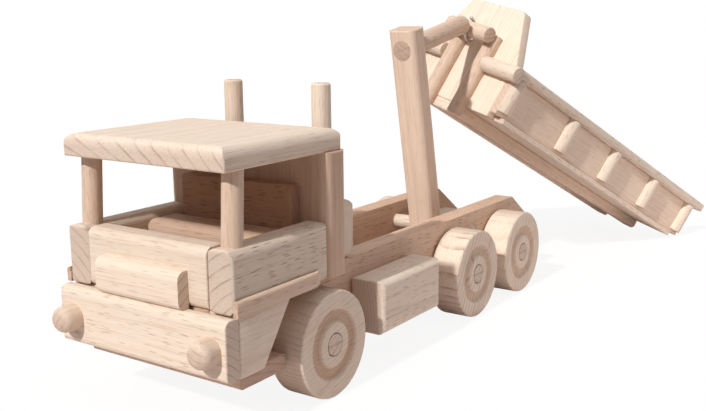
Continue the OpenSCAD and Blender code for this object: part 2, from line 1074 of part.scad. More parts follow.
module ribs_right() {
  color(beech)
    hung()
      translate([0, -tray_half, 0])
        mirror([0, 1, 0])
          ribs();
}

// one half-round strip on the wall's front, with a seat for the lift bar
module front_strip(y) {
  difference() {
    translate([0, y, 0])
      linear_extrude(front_strip_top)
        rotate(-90)
          half_round(front_strip_wide, front_strip_proud);
    translate([bar_out, 0, bar_up])
      cross_rod(bar_radius + glue_gap, -bar_half, bar_half + past);
  }
}

module front_strip_left() {
  color(beech)
    hung()
      front_strip(front_strip_middle);
}

module front_strip_right() {
  color(beech)
    hung()
      front_strip(-front_strip_middle);
}

// one runner, its inner face on the mid-plane
module runner() {
  translate([-runner_long, 0, 0])
    intersection() {
      along_y(runner_wide)
        union() {
          translate([runner_round, 0])
            square([runner_long - runner_round, runner_high]);
          translate([0, runner_round])
            square([runner_long, runner_high - runner_round]);
          translate([runner_round, runner_round])
            circle(runner_round);
        }
      cube([runner_long, runner_wide, runner_high]);
    }
}

module runner_left() {
  color(beech)
    hung()
      translate([0, runner_outer - runner_wide, 0])
        runner();
}

module runner_right() {
  color(beech)
    hung()
      translate([0, -runner_outer, 0])
        runner();
}

module runner_cross() {
  color(beech)
    hung()
      translate([-wall_thick, runner_wide - runner_outer, 0])
        cube([wall_thick, 2 * (runner_outer - runner_wide), runner_high]);
}

module lift_bar() {
  color(beech)
    hung()
      translate([bar_out, 0, bar_up])
        cross_rod(bar_radius, -bar_half, bar_half);
}

// one side peg with a flat against the wall, from the strip's edge out towards +Y
module side_peg() {
  intersection() {
    translate([peg_out, 0, peg_up])
      cross_rod(peg_radius, front_strip_outer, peg_end);
    cube([peg_out + peg_radius, peg_end, peg_up + peg_radius]);
  }
}

module side_pegs() {
  color(beech)
    hung() {
      side_peg();
      mirror([0, 1, 0])
        side_peg();
    }
}

rail_left();
rail_right();
base_plate();
bumper();
lamps();
cheek_left();
cheek_right();
front_panel();
grille();
door_left();
door_right();
strip_left();
strip_right();
pillar_left();
pillar_right();
cab_back();
roof();
cab_floor();
seat();
seat_back();
stack_block();
stack_left();
stack_right();
box_left();
box_right();
arm_spacer();
pivot_pin();
front_axle();
front_wheel_left();
front_wheel_right();
front_wedges();
middle_axle();
middle_wheel_left();
middle_wheel_right();
middle_wedges();
rear_axle();
rear_wheel_left();
rear_wheel_right();
rear_wedges();
arm_post();
arm_dowel();
arm_wedge();
lift_hook();
tray_floor();
tray_front();
tray_tail();
side_left();
side_right();
cap_left();
cap_right();
ribs_left();
ribs_right();
front_strip_left();
front_strip_right();
runner_left();
runner_right();
runner_cross();
lift_bar();
side_pegs();
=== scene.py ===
"""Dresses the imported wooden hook-lift truck: beech boards, turned wheels, eased edges and a wire hook.

Run as a script. Every size is in metres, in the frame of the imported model.
"""
import json
import math
from collections import namedtuple

import bmesh
import bpy
from bpy.props import FloatProperty, FloatVectorProperty, IntProperty, PointerProperty
from mathutils import Euler, Matrix, Vector


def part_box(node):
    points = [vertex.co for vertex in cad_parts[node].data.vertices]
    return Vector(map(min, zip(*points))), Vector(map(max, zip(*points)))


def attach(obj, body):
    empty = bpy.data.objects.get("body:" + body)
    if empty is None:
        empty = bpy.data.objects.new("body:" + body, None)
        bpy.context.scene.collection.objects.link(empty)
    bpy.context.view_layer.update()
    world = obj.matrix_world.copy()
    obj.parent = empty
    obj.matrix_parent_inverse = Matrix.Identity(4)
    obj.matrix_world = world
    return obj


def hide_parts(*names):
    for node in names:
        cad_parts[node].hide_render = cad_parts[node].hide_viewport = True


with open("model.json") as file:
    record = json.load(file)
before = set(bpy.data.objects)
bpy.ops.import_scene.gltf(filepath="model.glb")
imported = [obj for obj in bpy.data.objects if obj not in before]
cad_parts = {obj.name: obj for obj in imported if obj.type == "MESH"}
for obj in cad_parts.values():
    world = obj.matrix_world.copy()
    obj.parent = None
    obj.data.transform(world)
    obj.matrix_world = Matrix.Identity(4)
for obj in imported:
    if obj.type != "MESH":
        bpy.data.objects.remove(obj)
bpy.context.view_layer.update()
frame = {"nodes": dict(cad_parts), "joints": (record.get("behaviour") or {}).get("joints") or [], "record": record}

bl_info = {
    "name": "Wooden hook-lift truck",
    "version": (1, 0, 0),
    "blender": (4, 5, 0),
    "location": "3D View > Sidebar > Toy truck",
    "description": "Gives the packed toy truck its beech boards, turned wheels and wire hook",
    "category": "Object",
}

AXES = {"X": Vector((1, 0, 0)), "Y": Vector((0, 1, 0)), "Z": Vector((0, 0, 1))}

# Edges bent more than the sharp angle stay edges, faces bent less than the flat angle count as one face, and
# points closer than the merge distance as one point
SHARP_ANGLE = math.radians(34)
FLAT_ANGLE = math.radians(0.4)
MERGE = 1e-6

# Width of the camera's sensor in millimetres, and how near the camera still sees
SENSOR_WIDTH = 36
NEAR_CLIP = 0.01


class BeechLook(bpy.types.PropertyGroup):
    """Colours and grain of the unpainted beech"""

    early: FloatVectorProperty(
        name="Early wood", description="Pale wood between two growth rings", subtype="COLOR", size=3,
        min=0, max=1, default=(0.80, 0.683, 0.558))
    late: FloatVectorProperty(
        name="Late wood", description="Darker line at the end of a growth ring", subtype="COLOR", size=3,
        min=0, max=1, default=(0.53, 0.375, 0.27))
    fleck: FloatVectorProperty(
        name="Fleck", description="Short brown pores that run with the grain", subtype="COLOR", size=3,
        min=0, max=1, default=(0.30, 0.175, 0.115))
    end: FloatVectorProperty(
        name="End grain", description="Tint of faces cut across the grain", subtype="COLOR", size=3,
        min=0, max=1, default=(0.79, 0.75, 0.75))
    ring_wander: FloatProperty(
        name="Ring wander", description="How far a growth ring strays from its circle", unit="LENGTH",
        default=0.0016)
    # The darker, redder tint is partly steaming and partly painted shade and bounce light on pieces in shade
    steamed_and_shade_tint: FloatVectorProperty(
        name="Steamed", description="Tint of the boards that steaming left warmer", subtype="COLOR", size=3,
        min=0, max=1, default=(0.80, 0.575, 0.465))
    fleck_long: FloatProperty(
        name="Fleck length", description="Room along the grain for one fleck", unit="LENGTH", default=0.0112)
    fleck_wide: FloatProperty(
        name="Fleck width", description="Room across the grain for one fleck", unit="LENGTH", default=0.00066)
    roughness: FloatProperty(
        name="Roughness", description="Roughness of the sanded wood", min=0, max=1, default=0.62)
    relief: FloatProperty(
        name="Relief", description="Depth of the grain's relief", unit="LENGTH", default=0.00016)


class TurnedSizes(bpy.types.PropertyGroup):
    """Sizes of the turned and eased pieces"""

    ease: FloatProperty(
        name="Eased edges", description="Width of the sanded edge of a sawn board", unit="LENGTH",
        default=0.0011)
    wall_ease: FloatProperty(
        name="Eased wall", description="Width of the sanded edge of the container's front wall",
        unit="LENGTH", default=0.0026)
    dowel_ease: FloatProperty(
        name="Eased dowel ends", description="Width of the sanded edge at a dowel's end", unit="LENGTH",
        default=0.0008)
    ease_steps: IntProperty(
        name="Ease steps", description="Faces across an eased edge", min=1, default=3)
    wheel_steps: IntProperty(
        name="Wheel steps", description="Faces round a wheel", min=24, default=128)
    rim_round: FloatProperty(
        name="Rim rounding", description="Rounding of a wheel's rim", unit="LENGTH", default=0.0013)
    ring_outer: FloatProperty(
        name="Ring outside", description="Outer radius of the ring turned into a wheel", unit="LENGTH",
        default=0.0204)
    ring_inner: FloatProperty(
        name="Ring inside", description="Inner radius of the ring turned into a wheel", unit="LENGTH",
        default=0.0122)
    ring_deep: FloatProperty(
        name="Ring depth", description="Depth of the ring turned into a wheel", unit="LENGTH", default=0.0026)
    ring_slope: FloatProperty(
        name="Ring slope", description="Width of the ring's sloping walls", unit="LENGTH", default=0.0018)
    ring_round: FloatProperty(
        name="Ring rounding", description="Rounding of the ring's corners", unit="LENGTH", default=0.00065)
    hub_gap: FloatProperty(
        name="Hub gap", description="Gap that shows round an axle in its wheel", unit="LENGTH",
        default=0.00065)
    lamp_round: FloatProperty(
        name="Lamp rounding", description="Rounding of a lamp's front edge", unit="LENGTH", default=0.0045)
    lamp_crown: FloatProperty(
        name="Lamp crown", description="How far a lamp's front bulges", unit="LENGTH", default=0.0014)
    strip_round: FloatProperty(
        name="Strip rounding", description="Rounding of a running strip's upper edge", unit="LENGTH",
        default=0.0022)
    strip_seam: FloatProperty(
        name="Strip seam", description="Width of the seam between a running strip and its door",
        unit="LENGTH", default=0.0007)
    strip_seam_deep: FloatProperty(
        name="Strip seam depth", description="Depth of the seam between a running strip and its door",
        unit="LENGTH", default=0.0025)
    strip_taper: FloatProperty(
        name="Strip taper", description="Length of a running strip's slanted rear end", unit="LENGTH",
        default=0.007)


class PartTurns(bpy.types.PropertyGroup):
    """How the arm and the container stand in the photographed pose"""

    arm_lean: FloatProperty(
        name="Arm lean", description="Forward lean of the arm", subtype="ANGLE", default=math.radians(11))
    tray_yaw: FloatProperty(
        name="Container yaw", description="Turn of the container about the upright", subtype="ANGLE",
        default=math.radians(-16.42))
    tray_pitch: FloatProperty(
        name="Container pitch", description="Slope of the container, front end up", subtype="ANGLE",
        default=math.radians(27.89))
    tray_roll: FloatProperty(
        name="Container roll", description="Tilt of the container to its left", subtype="ANGLE",
        default=math.radians(12.54))


class StageLook(bpy.types.PropertyGroup):
    """Camera, floor and light"""

    lens: FloatProperty(name="Lens", description="Focal length on a 36 mm sensor", default=47.77)
    camera_place: FloatVectorProperty(
        name="Camera place", description="Where the camera stands, from the front axle's middle on the floor",
        subtype="TRANSLATION", unit="LENGTH", size=3, default=(0.3913, 0.3459, 0.2054))
    camera_turn: FloatProperty(
        name="Camera heading", description="Heading of the view, from +X towards +Y", subtype="ANGLE",
        default=math.radians(214.77))
    camera_dip: FloatProperty(
        name="Camera dip", description="How far the view looks down", subtype="ANGLE",
        default=math.radians(11.50))
    camera_roll: FloatProperty(
        name="Camera roll", description="Lean of the camera", subtype="ANGLE", default=math.radians(-0.59))
    sun: FloatProperty(name="Sun", description="Strength of the key light", min=0, default=2.95)
    sun_from: FloatVectorProperty(
        name="Sun from", description="Direction that the key light comes from", subtype="DIRECTION", size=3,
        default=(0.778, -0.022, 0.627))
    sun_soft: FloatProperty(
        name="Sun softness", description="Width of the key light as seen from the toy", subtype="ANGLE",
        default=math.radians(2.0))
    sky_high: FloatProperty(
        name="Sky overhead", description="Strength of the light from above", min=0, default=0.70)
    sky_low: FloatProperty(
        name="Sky low", description="Strength of the light from the sides", min=0, default=0.03)
    sky_tint: FloatVectorProperty(
        name="Sky tint", description="Colour of the light from above and the sides", subtype="COLOR", size=3,
        min=0, max=1, default=(1.0, 0.93, 0.95))
    fill: FloatProperty(
        name="Fill", description="Power of the soft lamp beside the container", min=0, default=0.4)
    fill_size: FloatProperty(
        name="Fill size", description="Width of the soft lamp", unit="LENGTH", min=0, default=0.35)
    fill_place: FloatVectorProperty(
        name="Fill place",
        description="Where the soft lamp stands, from the front axle's middle on the floor",
        subtype="TRANSLATION", unit="LENGTH", size=3, default=(-0.47, 0.43, 0.04))
    fill_aim: FloatVectorProperty(
        name="Fill aim",
        description="What the soft lamp is aimed at, from the front axle's middle on the floor",
        subtype="TRANSLATION", unit="LENGTH", size=3, default=(-0.36, 0.02, 0.11))
    floor_seen: FloatVectorProperty(
        name="Floor seen", description="Colour of the floor as the camera sees it", subtype="COLOR", size=3,
        min=0, max=1, default=(0.54, 0.505, 0.495))
    floor_glow: FloatProperty(
        name="Floor glow", description="Brightness that evens out the floor for the camera", min=0,
        default=1.12)
    floor_even: FloatProperty(
        name="Floor evenness", description="Share of that brightness in what the camera sees",
        subtype="FACTOR", min=0, max=1, default=0.8)
    floor_near: FloatVectorProperty(
        name="Floor near", description="Colour of the light that the floor throws back near the toy",
        subtype="COLOR", size=3, min=0, max=1, default=(0.78, 0.715, 0.705))
    floor_far: FloatVectorProperty(
        name="Floor far", description="Colour of the light that the floor throws back far from the toy",
        subtype="COLOR", size=3, min=0, max=1, default=(0.22, 0.20, 0.195))
    sheet_near: FloatProperty(
        name="Bright floor", description="How far to each side of the toy's middle the bright floor reaches",
        unit="LENGTH", default=0.20)
    sheet_far: FloatProperty(
        name="Dull floor", description="How far to each side of the toy's middle the dull floor starts",
        unit="LENGTH", default=0.42)
    sheet_long: FloatProperty(
        name="Bright length", description="How many times as long as wide the bright floor is", min=1,
        default=2.0)
    floor_half: FloatProperty(
        name="Floor half", description="Half the width of the floor", unit="LENGTH", default=4.0)


Grain = namedtuple("Grain", "along heart spacing tone flecks warm lines", defaults=(1.0, 0.0, 0.6))
# How a piece was cut: the grain's direction, the way from its middle to the log's heart, its ring spacing, how
# pale it is, how many flecks it shows, how much of the darker, redder tint it takes and how dark its growth rings
# show. Its paleness is partly the wood's own and partly painted light on pieces in brighter light and painted
# shade on pieces in deeper shade; the redder tint is partly steaming and partly painted shade and bounce light.
"""How a piece was cut: the grain's direction, the way from its middle to the log's heart, its ring spacing,
how pale it is, how many flecks it shows, how warm steaming left it and how dark its growth rings show.
Directions are those of its body when level."""

# Paleness and the redder tint here also hold painted light and shade: the seat, seat back and cab back under the
# roof are darker and redder, the right rail is redder for the bounce light on its inner face, and the container's
# front wall, sides and runners and the arm post are paler for the light they catch
GRAIN = {
    "rail_left": Grain("X", (0, 0.05, -0.11), 0.0042, 1.03, 1.2, 0.6),
    "rail_right": Grain("X", (0, -0.04, -0.12), 0.0046, 0.97, 1.2, 0.75),
    "base_plate": Grain("Y", (0.02, 0, -0.09), 0.0040, 0.92, 1.0, 0.5),
    "bumper": Grain("Y", (0.05, 0, -0.07), 0.0040, 0.99, 0.9),
    "lamps": Grain("X", (0, 0.03, -0.05), 0.0036, 0.97, 0.5, 0.2),
    "cheek_left": Grain("X", (0, -0.16, 0.05), 0.0060, 0.97, 0.35),
    "cheek_right": Grain("X", (0, 0.15, 0.06), 0.0056, 0.97, 0.35),
    "front_panel": Grain("Y", (-0.09, 0, -0.05), 0.0048, 0.96, 0.6),
    "grille": Grain("Y", (-0.05, 0, -0.08), 0.0050, 1.03, 0.7),
    "door_left": Grain("X", (0, 0.034, -0.052), 0.0062, 0.92, 1.45),
    "door_right": Grain("X", (0, -0.05, -0.06), 0.0055, 0.92, 1.45),
    "strip_left": Grain("X", (0, -0.06, -0.05), 0.0040, 0.98, 1.0, 0.45),
    "strip_right": Grain("X", (0, 0.06, -0.05), 0.0040, 0.98, 1.0, 0.45),
    "pillar_left": Grain("Z", (0.05, 0.03, 0), 0.0036, 0.97, 0.5, 0.45),
    "pillar_right": Grain("Z", (-0.04, 0.04, 0), 0.0036, 0.97, 0.5, 0.45),
    "cab_back": Grain("Z", (0.10, 0.03, 0), 0.0044, 0.93, 0.35, 0.6),
    "roof": Grain("X", (0, -0.10, -0.145), 0.0066, 1.03, 0.4),
    "cab_floor": Grain("Y", (0.03, 0, -0.1), 0.0044, 0.95),
    "seat": Grain("Y", (0.04, 0, -0.09), 0.0044, 0.78, 1.0, 0.65),
    "seat_back": Grain("Y", (-0.1, 0, 0.04), 0.0044, 0.81, 1.5, 1.0),
    "stack_block": Grain("Z", (-0.07, 0.06, 0), 0.0050, 1.0, 0.3),
    "stack_left": Grain("Z", (0.03, -0.05, 0), 0.0036, 1.04, 0.4),
    "stack_right": Grain("Z", (0.04, 0.05, 0), 0.0036, 1.0, 0.4, 0.15),
    "box_left": Grain("X", (0, -0.15, -0.015), 0.0022, 1.03, 1.0),
    "box_right": Grain("X", (0, 0.15, -0.015), 0.0022, 1.03, 1.0),
    "arm_spacer": Grain("X", (0, -0.05, -0.05), 0.0044, 0.96),
    "pivot_pin": Grain("Y", (0.03, 0, -0.04), 0.0036, 0.97),
    "front_axle": Grain("Y", (0.03, 0, 0.05), 0.0034, 1.08),
    "middle_axle": Grain("Y", (-0.04, 0, 0.04), 0.0034, 1.08),
    "rear_axle": Grain("Y", (0.05, 0, -0.03), 0.0034, 1.08),
    "front_wedges": Grain("Y", (0.02, 0, 0.06), 0.0034, 0.84),
    "middle_wedges": Grain("Y", (0.03, 0, 0.05), 0.0034, 0.84),
    "rear_wedges": Grain("Y", (0.05, 0, 0.02), 0.0034, 0.84),
    "arm_post": Grain("Z", (0.07, 0.03, 0), 0.0050, 1.14, 0.35, 0.35),
    "arm_dowel": Grain("X", (0, 0.03, 0.04), 0.0036, 0.97, 1.0, 0.45),
    "arm_wedge": Grain("X", (0, 0.05, 0.02), 0.0034, 0.80),
    "tray_floor": Grain("X", (0, 0.03, -0.12), 0.0048, 1.05),
    "tray_front": Grain("Z", (-0.12, 0.04, 0), 0.0060, 1.13, 0.3),
    "tray_tail": Grain("Y", (0.09, 0, 0.04), 0.0050, 1.0),
    "side_left": Grain("X", (0, 0.07, 0.09), 0.0036, 1.10, 0.5, 0.2),
    "side_right": Grain("X", (0, -0.07, 0.08), 0.0036, 1.10, 0.5, 0.2),
    "cap_left": Grain("X", (0, 0.06, -0.06), 0.0040, 0.95),
    "cap_right": Grain("X", (0, -0.06, -0.06), 0.0040, 0.95),
    "ribs_left": Grain("Z", (0.06, 0.05, 0), 0.0038, 1.03),
    "ribs_right": Grain("Z", (0.06, -0.05, 0), 0.0038, 1.03),
    "front_strip_left": Grain("Z", (0.05, 0.04, 0), 0.0038, 0.98, 1.0, 0.45),
    "front_strip_right": Grain("Z", (0.05, -0.04, 0), 0.0038, 0.98, 1.0, 0.45),
    "runner_left": Grain("X", (0, 0.04, 0.08), 0.0040, 1.12, 0.5, 0.15),
    "runner_right": Grain("X", (0, -0.04, 0.08), 0.0040, 1.12, 0.5, 0.15),
    "runner_cross": Grain("Y", (0.05, 0, 0.05), 0.0040, 1.0),
    "lift_bar": Grain("Y", (0.03, 0, 0.05), 0.0034, 0.99, 1.0, 0.3),
    "side_pegs": Grain("Y", (0.05, 0, 0.03), 0.0034, 1.0),
}

Wheel = namedtuple(
    "Wheel", "body turn heart spacing tone lines burnish flecks warm", defaults=(0.45, 0.4, 0.0))
# How a wheel was cut: the body it turns with, the turn of its grain about the axle in degrees, the distance of the
# log's heart, and the rest as for a board, with how much darker the sunk ring is made, partly by the lathe's
# browning and partly as painted shade in the recess.
"""How a wheel was cut: the body it turns with, the turn of its grain about the axle in degrees, the distance
of the log's heart, and the rest as for a board, with how much the lathe browned the sunk ring."""

# Paleness here also holds painted light: the middle and rear left wheels, whose treads catch more light, are paler
WHEELS = {
    "front_wheel_left": Wheel("front_axle", 14, 0.33, 0.0027, 0.98, 1.0, 1.0),
    "front_wheel_right": Wheel("front_axle", 35, 0.15, 0.0030, 0.98, 1.3, 0.9),
    "middle_wheel_left": Wheel("middle_axle", 62, 0.055, 0.0042, 1.03, 2.6, 0.7),
    "middle_wheel_right": Wheel("middle_axle", -50, 0.14, 0.0044, 0.98, 2.0),
    "rear_wheel_left": Wheel("rear_axle", 70, 0.09, 0.0050, 1.07, 1.4, 0.7),
    "rear_wheel_right": Wheel("rear_axle", 15, 0.13, 0.0048, 0.97, 1.4),
}

# Pieces made here, by how they are worked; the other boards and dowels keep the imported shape
SAWN = ("rail_left", "rail_right", "cheek_left", "cheek_right", "tray_front", "front_strip_left",
        "front_strip_right", "runner_left", "runner_right", "runner_cross")
STRIPS = ("strip_left", "strip_right")
DOWELS = ("pivot_pin", "arm_dowel", "lift_bar", "side_pegs", "ribs_left", "ribs_right")
MADE_HERE = (*SAWN, *STRIPS, *DOWELS, "lamps")

# Growth rings: repeats a metre, with the grain and twice across it, of their wander and of the change from
# year to year, how late a year darkens, where its line breaks off, and how strong faint and dark years are
WANDER_REPEATS = (5, 26, 26)
YEAR_REPEATS = (3, 90, 90)
RING_POWER = 5.0
RING_BREAK = 0.94
YEAR_RANGE = (0.3, 0.75)
YEAR_LINES = (0.12, 0.75)
# On end grain a year's line starts sooner and shows a little stronger
END_LINE = (0.72, 0.92)
END_LINE_MORE = 0.2

Pattern = namedtuple("Pattern", "repeats detail rough low high share tint")
"""A noise in the wood: its repeats a metre, with the grain and twice across it, its detail and roughness, the
values between which it sets in, and the share and the colour of the tint that it gives."""

BROAD = Pattern((7, 60, 60), 3.0, 0.5, 0.25, 0.75, 0.30, (0.93, 0.84, 0.77))
STREAK = Pattern((28, 1150, 1150), 2.0, 0.5, 0.52, 0.78, 0.62, (0.76, 0.62, 0.53))
FIBRE = Pattern((70, 1500, 1500), 3.0, 0.6, 0.4, 0.75, 0.3, (0.83, 0.75, 0.69))

# Flecks: where they fade out from their middle, which of them show, and their strength on long and end grain
FLECK_FADE = (0.12, 0.34)
FLECK_CHANCE = (0.22, 0.75)
FLECK_STRENGTH = (0.80, 0.2)

# Faces that count as end grain by how squarely they are cut, and how much of its tint they take
END_FACING = (0.62, 0.97)
END_SHARE = 0.75

# Surface of the wood: how its roughness spreads with the fibres, what fibres raise and flecks sink, and shine
ROUGH_RANGE = (0.2, 0.8)
ROUGH_SPREAD = (-0.06, 0.10)
FIBRE_HEIGHT = 0.5
FLECK_HEIGHT = 0.8
BUMP_STRENGTH = 0.55
WOOD_SPECULAR = 0.32

# Sanded edges: their reach in eased widths, the bend that counts as an edge, and how pale they get, partly from
# sanding wear and partly as a painted highlight along every edge
EDGE_REACH = 1.6
EDGE_BEND = (0.70, 0.995)
EDGE_SAMPLES = 4
EDGE_SHARE = 0.35
EDGE_WEAR_AND_HIGHLIGHT_TINT = (1.12, 1.12, 1.12)

# Lathe marks: repeats a metre outwards and along the axle, which of them are grooves, and the tints of the
# grooves and of the sunk ring, which is darker partly from the lathe's browning and partly as painted shade in the
# recess
LATHE_OUT = 1100.0
LATHE_ALONG = 900.0
GROOVE_RANGE = (0.5, 0.85)
GROOVE_SHARE = 0.45
GROOVE_TINT = (0.80, 0.70, 0.63)
RING_BURNISH_AND_SHADE_TINT = (0.80, 0.69, 0.62)

# Wire: repeats a metre of its dull patches, its colour bright and dull, and its roughness bright and dull
DULL_REPEATS = (900, 900, 900)
DULL_RANGE = (0.25, 0.75)
WIRE_BRIGHT = (0.70, 0.69, 0.67)
WIRE_DULL = (0.42, 0.41, 0.40)
WIRE_ROUGH = (0.22, 0.42)


def body_of(node):
    """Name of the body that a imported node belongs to."""
    for body, members in frame["record"]["behaviour"]["bodies"].items():
        if node in members:
            return body
    raise KeyError(node)


def middle_of(node):
    """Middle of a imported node's box."""
    low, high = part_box(node)
    return (low + high) / 2


def joint_place(name):
    """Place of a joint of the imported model."""
    return Vector(next(j["pos_m"] for j in frame["joints"] if j["name"] == name))


def axle_foot():
    """Point on the floor below the front axle's middle, from which the stage is measured."""
    middle = joint_place("front_axle_spin")
    return Vector((middle.x, middle.y, 0))


def stand_of(body, turns):
    """Turn of a body as it stands at rest."""
    if body == "arm":
        return Matrix.Rotation(turns.arm_lean, 3, "Y")
    if body == "container":
        return Euler((-turns.tray_roll, -turns.tray_pitch, turns.tray_yaw), "XYZ").to_matrix()
    return Matrix.Identity(3)


# Shader node helpers

def add_node(tree, kind, place, **values):
    """A shader node of one kind with its properties and unlinked inputs set."""
    node = tree.nodes.new(kind)
    node.location = place
    for key, value in values.items():
        if hasattr(node, key):
            setattr(node, key, value)
        else:
            node.inputs[key.replace("_", " ")].default_value = value
    return node


def math_node(tree, operation, place, a, b=None):
    """A Math node fed by sockets or plain numbers; returns its output."""
    node = add_node(tree, "ShaderNodeMath", place, operation=operation)
    for index, value in enumerate((a, b)):
        if value is None:
            continue
        if isinstance(value, (int, float)):
            node.inputs[index].default_value = value
        else:
            tree.links.new(value, node.inputs[index])
    return node.outputs[0]


def mix_colour(tree, place, factor, a, b, blend="MIX"):
    """A colour Mix node fed by sockets or plain colours; returns its colour."""
    node = add_node(tree, "ShaderNodeMix", place, data_type="RGBA", blend_type=blend)
    for socket, value in ((node.inputs[0], factor), (node.inputs[6], a), (node.inputs[7], b)):
        if isinstance(value, bpy.types.NodeSocket):
            tree.links.new(value, socket)
        else:
            socket.default_value = (*value, 1)
    return node.outputs[2]


def range_node(tree, place, value, low, high, to_low=0.0, to_high=1.0):
    """A smooth Map Range node; returns its output."""
    node = add_node(tree, "ShaderNodeMapRange", place, interpolation_type="SMOOTHSTEP")
    tree.links.new(value, node.inputs[0])
    for index, number in enumerate((low, high, to_low, to_high), 1):
        node.inputs[index].default_value = number
    return node.outputs[0]


def stretched(tree, place, vector, scale):
    """The vector multiplied by a scale along each axis."""
    node = add_node(tree, "ShaderNodeVectorMath", place, operation="MULTIPLY")
    tree.links.new(vector, node.inputs[0])
    node.inputs[1].default_value = scale
    return node.outputs[0]


def noise(tree, place, vector, detail=2.0, rough=0.5):
    """A Noise texture of scale 1; returns its value."""
    node = add_node(tree, "ShaderNodeTexNoise", place, Scale=1.0, Detail=detail, Roughness=rough)
    tree.links.new(vector, node.inputs["Vector"])
    return node.outputs[0]


def reach_from(tree, place, a, b):
    """Distance from a line, out of the two coordinates across it."""
    x, y = place
    return math_node(tree, "SQRT", (x + 250, y), math_node(
        tree, "ADD", (x + 100, y), math_node(tree, "MULTIPLY", (x, y + 80), a, a),
        math_node(tree, "MULTIPLY", (x, y - 80), b, b)))


def mix_shader(tree, place, share, a, b):
    """A Mix Shader node between two shader nodes; returns the node."""
    node = add_node(tree, "ShaderNodeMixShader", place)
    for socket, value in zip(node.inputs, (share, a.outputs[0], b.outputs[0])):
        tree.links.new(value, socket)
    return node


def to_output(tree, place, shader, kind="Material"):
    """Links a shader node to a new output of a material or a world."""
    output = add_node(tree, "ShaderNodeOutput" + kind, place)
    tree.links.new(shader.outputs[0], output.inputs["Surface"])


def new_material(name):
    """A material without nodes; returns it and its tree."""
    material = bpy.data.materials.new(name)
    material.use_nodes = True
    material.node_tree.nodes.clear()
    return material, material.node_tree


def new_group(name, inputs, outputs):
    """A shader node group with named sockets; returns the tree, its input node and its output node."""
    tree = bpy.data.node_groups.new(name, "ShaderNodeTree")
    for label, kind in inputs:
        tree.interface.new_socket(label, in_out="INPUT", socket_type="NodeSocket" + kind)
    for label, kind in outputs:
        tree.interface.new_socket(label, in_out="OUTPUT", socket_type="NodeSocket" + kind)
    return tree, tree.nodes.new("NodeGroupInput"), tree.nodes.new("NodeGroupOutput")


def placed_group(tree, name, place):
    """A node that stands for one of the shared groups."""
    return add_node(tree, "ShaderNodeGroup", place, node_tree=bpy.data.node_groups[name])


